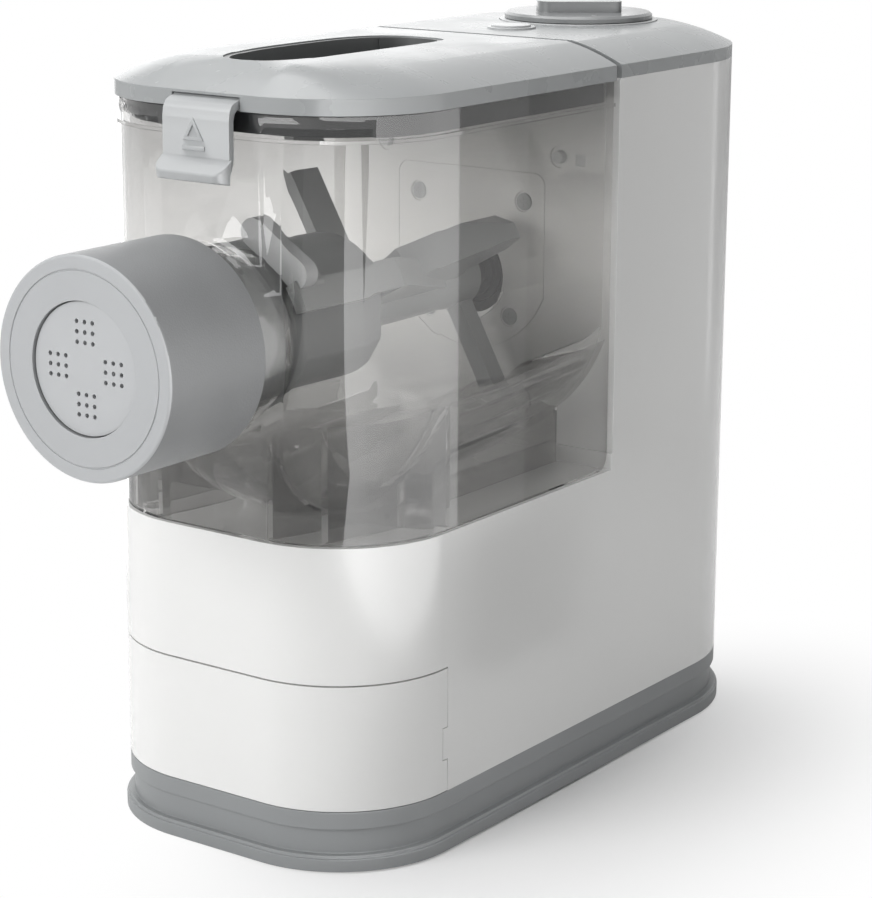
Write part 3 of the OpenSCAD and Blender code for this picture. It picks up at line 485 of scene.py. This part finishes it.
# The symbol: middle and corner radius of its triangle, stroke, and its bar's height, width and thickness
MARK_X, MARK_Z = -1.0 * MM, 262.5 * MM
MARK_RADIUS, MARK_STROKE = 5.2 * MM, 1.2 * MM
BAR_Z, BAR_WIDTH, BAR_THICK = 257.3 * MM, 10.0 * MM, 1.6 * MM
# Its whole depth, how far its middle stands out of the clip's face, its broken edges,
# and how far the CAD's lip stands out of that face
MARK_DEPTH, MARK_OUT, MARK_EDGE = 0.8 * MM, 0.05 * MM, 0.15 * MM
LIP_OUT = 3.4 * MM


def add_lip(clip):
    """The clip's lower edge flares out into a slanted lip with rounded corners."""
    lip = add_cube(2)
    bpy.ops.object.mode_set(mode="EDIT")
    bpy.ops.mesh.select_mode(type="EDGE")
    bpy.ops.mesh.select_all(action="DESELECT")
    shape = bmesh.from_edit_mesh(lip.data)
    outer = [edge for edge in shape.edges
             if all(vertex.co.y < 0 for vertex in edge.verts) and edge.verts[0].co.x == edge.verts[1].co.x]
    for vertex in shape.verts:
        side, inward, upward = (round(value) for value in vertex.co)
        y, z = LIP_PROFILE[inward, upward]
        vertex.co = (side * LIP_HALF, y * MM, z * MM)
    for edge in outer:
        edge.select_set(True)
    bmesh.update_edit_mesh(lip.data)
    bpy.ops.mesh.bevel(offset=LIP_CORNER, segments=6)
    bpy.ops.mesh.select_all(action="SELECT")
    bpy.ops.mesh.select_mode(type="VERT")
    bpy.ops.object.mode_set(mode="OBJECT")
    apply_modifier(lip, "BEVEL", width=LIP_EDGE, segments=3, limit_method="ANGLE", angle_limit=BREAK_ANGLE)
    combine(clip, "UNION", lip)


def open_triangle(triangle):
    """Opens the middle of a flat triangular prism, so that a frame of the stroke's width is left."""
    bpy.ops.object.mode_set(mode="EDIT")
    shape = bmesh.from_edit_mesh(triangle.data)
    for face in shape.faces:
        face.select_set(abs(face.normal.y) > 0.9)
    bmesh.update_edit_mesh(triangle.data)
    bpy.ops.mesh.inset(thickness=MARK_STROKE)
    bpy.ops.mesh.delete(type="FACE")
    shape = bmesh.from_edit_mesh(triangle.data)
    rims = [edge for edge in shape.edges if edge.is_boundary]
    for edge in shape.edges:
        edge.select_set(edge in rims)
    bmesh.update_edit_mesh(triangle.data)
    bpy.ops.mesh.bridge_edge_loops()
    bpy.ops.mesh.select_all(action="SELECT")
    bpy.ops.mesh.normals_make_consistent(inside=False)
    bpy.ops.object.mode_set(mode="OBJECT")


def clip_symbol():
    """Raised outline triangle with a bar under it on the clip's face."""
    face_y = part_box("lid_clip")[0].y + LIP_OUT - MARK_OUT
    bpy.ops.object.select_all(action="DESELECT")
    bpy.ops.mesh.primitive_cylinder_add(vertices=3, radius=MARK_RADIUS, depth=MARK_DEPTH,
                                        location=(MARK_X, face_y, MARK_Z), rotation=(RIGHT_ANGLE, 0, 0))
    mark = bpy.context.object
    mark.name = "clip_symbol"
    settle()
    open_triangle(mark)
    bar = add_block((MARK_X, face_y, BAR_Z), (BAR_WIDTH, MARK_DEPTH, BAR_THICK))
    only(mark)
    bar.select_set(True)
    bpy.ops.object.join()
    apply_modifier(mark, "BEVEL", width=MARK_EDGE, segments=2, limit_method="ANGLE")
    only(mark)
    bpy.ops.object.shade_smooth_by_angle(angle=BREAK_ANGLE)
    finish_piece(mark, "clip", "clip_grey")


# ---- the other pieces that get more than their finish ----

# The lid's sensor looks through a window in its seat on the tower's wall
WINDOW_PLACE = (50.2 * MM, 47.7 * MM, 238.8 * MM)
WINDOW_SIZE = (4.3 * MM, 1.0 * MM, 4.3 * MM)
# Depth of the cap's front face
CAP_FACE = 0.6 * MM
# The hook's scraper of the front wall: where it lies along Y,
# and its least distance from the shaft in the direction of its angle
SCRAPER_Y, SCRAPER_REACH = (-99.3 * MM, -92.9 * MM), 30.4 * MM
SCRAPER_ANGLE = math.radians(57)
SHAFT_Z = 190.6 * MM


def add_window():
    """Small window of the lid's sensor, in its seat on the tower's wall."""
    window = add_block(WINDOW_PLACE, WINDOW_SIZE)
    window.name = "sensor_window"
    finish_piece(window, "base", "pin_plastic")


def two_tone_cap(cap):
    """The cap's front face is smoother and lighter than its grained side."""
    cap.data.materials.append(FINISHES["cap_face"])
    front = min(vertex.co.y for vertex in cap.data.vertices)
    for face in cap.data.polygons:
        if face.center.y < front + CAP_FACE:
            face.material_index = 1


def paint_scraper_light(hook):
    """The scraper's faces get a lighter grey than the rest of the hook: painted light where the front lamp
    falls on them.
    """
    hook.data.materials.append(FINISHES["scraper_painted_light"])
    for face in hook.data.polygons:
        x, y, z = face.center
        reach = x * math.cos(SCRAPER_ANGLE) + (z - SHAFT_Z) * math.sin(SCRAPER_ANGLE)
        if SCRAPER_Y[0] < y < SCRAPER_Y[1] and reach > SCRAPER_REACH:
            face.material_index = 1


def make_chamber():
    """The chamber's clear outer wall and its smokier trough as one moulding."""
    outer, trough = merged_copy("mixing_chamber"), merged_copy("kneading_trough")
    recolour(outer, "clear_plastic")
    recolour(trough, "smoky_plastic")
    combine(outer, "UNION", trough)
    complete(outer, ["mixing_chamber", "kneading_trough"], "clear_plastic")


# ---- the machine ----

# Finish of each node that gets one of its own, and how far its edges are broken, in mm
DRESSED = {
    "base_plinth": ("base_grey", 0.5),
    "bottom_plate": ("base_grey", 0.0),
    "rubber_feet": ("black_rubber", 0.3),
    "bottom_screws": ("steel", 0.0),
    "main_housing": ("white_gloss", 0.5),
    "vent_grille": ("white_gloss", 0.2),
    "top_cover": ("cover_grey", 0.4),
    "cord_gland": ("black_rubber", 0.4),
    "shield_plate": ("white_gloss", 0.15),
    # The shield's screws take the cover's darker grey as painted shade of the cups they sit in
    "shield_screws": ("cover_grey", 0.1),
    "floor_pegs": ("white_gloss", 0.3),
    "drawer_front": ("white_gloss", 0.4),
    "drawer_tray": ("white_inner", 0.4),
    "spare_disc_slots": ("white_inner", 0.2),
    "spare_disc_ring": ("white_inner", 0.2),
    "spare_disc_wide": ("white_inner", 0.2),
    "lid": ("lid_grey", 0.4),
    "lid_grille": ("dark_plastic", 0.2),
    "lid_seal": ("seal_grey", 0.4),
    "lid_clip": ("clip_grey", 0.4),
    "extrusion_tube": ("dark_plastic", 0.4),
    "shaping_disc": ("disc_grey", 0.1),
    "front_cap": ("cap_side", 0.3),
    "kneading_hook": ("hook_painted_light_grey", 0.6),
    "auger_screw": ("dark_plastic", 0.0),
    "dial_ring": ("ring_grey", 0.3),
    "control_knob": ("knob_grey", 0.5),
    "button_ring": ("ring_grey", 0.3),
    "start_button": ("ring_grey", 0.4),
    "sensor_pin_left": ("pin_plastic", 0.3),
    "sensor_pin_right": ("pin_plastic", 0.3),
    "drive_coupling": ("seal_rubber", 0.3),
    "shaft_seal": ("black_rubber", 0.3),
}
# What a node gets before its edges are broken, and after it is finished
RESHAPED = {"lid_clip": add_lip, "lid": level_inlet, "lid_grille": level_inlet}
RETOUCHED = {"front_cap": two_tone_cap, "lid_seal": trim_seal, "kneading_hook": paint_scraper_light}
# Slots of the inner nodes that are bare metal; the others are white inside
METAL_SLOTS = ("steel", "brass", "die_cast")


def make_machine():
    """Every piece in its finish: the dressed ones, the chamber, the small additions and the inner ones."""
    pieces = {}
    for node, (finish, edge) in DRESSED.items():
        pieces[node] = merged_copy(node)
        if node in RESHAPED:
            RESHAPED[node](pieces[node])
        complete(pieces[node], [node], finish, edge)
    make_chamber()
    for node, retouch in RETOUCHED.items():
        retouch(pieces[node])
    clip_symbol()
    add_window()
    for node, piece in frame["nodes"].items():
        if node not in DRESSED:
            recolour(piece, "steel" if SLOT_OF[node] in METAL_SLOTS else "white_inner")


# ---- the studio ----

# Side of the floor, its colour, and the middle of its shade and the shade's reach along X and Y
FLOOR_SIZE, FLOOR_COLOUR = 6, (0.90, 0.90, 0.90, 1)
FLOOR_SHADE_CENTRE = (0.078, 0.012, 0.0)
FLOOR_SHADE_REACH = (0.136, 0.264)
# Strength of the sky where it is seen or mirrored, and where it only lights
SKY_SEEN, SKY_LIGHT = 1.0, 0.29
# The sky counts one bounce more than the surface that mirrors it
FIRST_BOUNCE = 2.5
WHITE = (1, 1, 1, 1)
# Place, aim, size and power of each lamp
LAMPS = {
    "front_lamp": ((-0.55, -1.7, 0.9), (0, 0, 0.15), (1.2, 1.2), 21),
    "top_lamp": ((-0.3, 0.0, 1.6), (0, 0, 0.1), (1.0, 1.4), 15),
}
# Start and end of each card along Y, its glow there, its place along X, its foot and its top
CARDS = {
    "bright_card": (-0.75, 0.275, 7.5, 2.2, 0.3, 0.005, 0.315),
    "dim_card": (0.275, 0.337, 0.4, 0.4, 0.3, 0.005, 0.315),
    "dark_card": (0.337, 0.75, 0.1, 1.6, 0.3, 0.005, 0.315),
    "corner_card": (-0.35, -0.15, 6.5, 5.0, 0.16, 0.085, 0.315),
    "shade_card": (0.08, 0.17, 0.02, 0.3, 0.16, 0.005, 0.07),
    "back_card": (0.05, 0.65, 2.0, 1.7, -0.3, 0.005, 0.52),
}


def add_lamp(name, place, aim, size, power):
    """Soft rectangular lamp at a place, facing a point."""
    data = bpy.data.lights.new(name, "AREA")
    data.shape = "RECTANGLE"
    data.size, data.size_y = size
    data.energy = power
    lamp = bpy.data.objects.new(name, data)
    bpy.context.scene.collection.objects.link(lamp)
    lamp.location = place
    lamp.rotation_euler = (Vector(aim) - Vector(place)).to_track_quat("-Z", "Y").to_euler()


def add_card(name, start_y, end_y, start_glow, end_glow, place_x, foot, top):
    """Card beside the machine whose glow changes along Y, and which shows only in what is glossy."""
    place = (place_x, (start_y + end_y) / 2, (foot + top) / 2)
    bpy.ops.object.select_all(action="DESELECT")
    bpy.ops.mesh.primitive_plane_add(size=1, location=place, rotation=(0, -RIGHT_ANGLE, 0))
    card = bpy.context.object
    card.name = name
    card.scale = (top - foot, end_y - start_y, 1)
    settle()
    material, tree = new_material(name)
    tree.nodes.clear()
    glow = tree.nodes.new("ShaderNodeEmission")
    ramp = mapped(tree, object_axis(tree, "Y"), start_y, end_y, start_glow, end_glow)
    put_all(tree, glow, {"Strength": ramp})
    out = tree.nodes.new("ShaderNodeOutputMaterial")
    tree.links.new(glow.outputs[0], out.inputs["Surface"])
    card.data.materials.append(material)
    card.visible_camera = False
    card.visible_diffuse = False
    card.visible_shadow = False
    card.visible_transmission = False


def add_floor():
    """Pale floor that keeps the shadow, and glows white where it is seen away from the machine."""
    bpy.ops.object.select_all(action="DESELECT")
    bpy.ops.mesh.primitive_plane_add(size=FLOOR_SIZE, location=(0, 0, 0))
    floor = bpy.context.object
    floor.name = "studio_floor"
    material, tree = new_material("studio_floor")
    shader = tree.nodes["Principled BSDF"]
    put_all(tree, shader, {"Base Color": FLOOR_COLOUR, "Roughness": 0.9, "Specular IOR Level": 0.1})
    bright = tree.nodes.new("ShaderNodeEmission")
    put_all(tree, bright, {"Strength": 1.0})
    centred = vector_maths(tree, "SUBTRACT", object_place(tree), FLOOR_SHADE_CENTRE)[0]
    reach = vector_maths(tree, "DIVIDE", centred, (*FLOOR_SHADE_REACH, 1.0))[0]
    away = vector_maths(tree, "LENGTH", reach)["Value"]
    fade = mapped(tree, away, 0.0, 1.0, 0.0, 1.0, "SMOOTHSTEP")
    path = tree.nodes.new("ShaderNodeLightPath").outputs
    share = maths(tree, "MULTIPLY", fade, seen_directly(tree, path))
    mixed = mix_shaders(tree, share, shader.outputs[0], bright.outputs[0])
    tree.links.new(mixed, tree.nodes["Material Output"].inputs["Surface"])
    floor.data.materials.append(material)


def make_sky():
    """Even sky that looks white where it is seen or first mirrored, and lights more weakly."""
    world = bpy.data.worlds.new("studio_sky")
    bpy.context.scene.world = world
    world.use_nodes = True
    tree = world.node_tree
    tree.nodes.clear()
    lit, seen = (tree.nodes.new("ShaderNodeBackground") for _ in range(2))
    put_all(tree, lit, {"Color": WHITE, "Strength": SKY_LIGHT})
    put_all(tree, seen, {"Color": WHITE, "Strength": SKY_SEEN})
    path = tree.nodes.new("ShaderNodeLightPath").outputs
    first = maths(tree, "LESS_THAN", path["Ray Depth"], FIRST_BOUNCE)
    mirrored = maths(tree, "MULTIPLY", path["Is Glossy Ray"], first)
    shows = maths(tree, "MAXIMUM", seen_directly(tree, path), mirrored)
    out = tree.nodes.new("ShaderNodeOutputWorld")
    tree.links.new(mix_shaders(tree, shows, lit.outputs[0], seen.outputs[0]), out.inputs["Surface"])


def make_studio():
    """Floor, sky, two soft lamps, and the cards that the glossy sides mirror."""
    add_floor()
    make_sky()
    for name, row in LAMPS.items():
        add_lamp(name, *row)
    for name, row in CARDS.items():
        add_card(name, *row)


bpy.context.scene.view_settings.view_transform = "Standard"
add_camera()
make_machine()
make_studio()
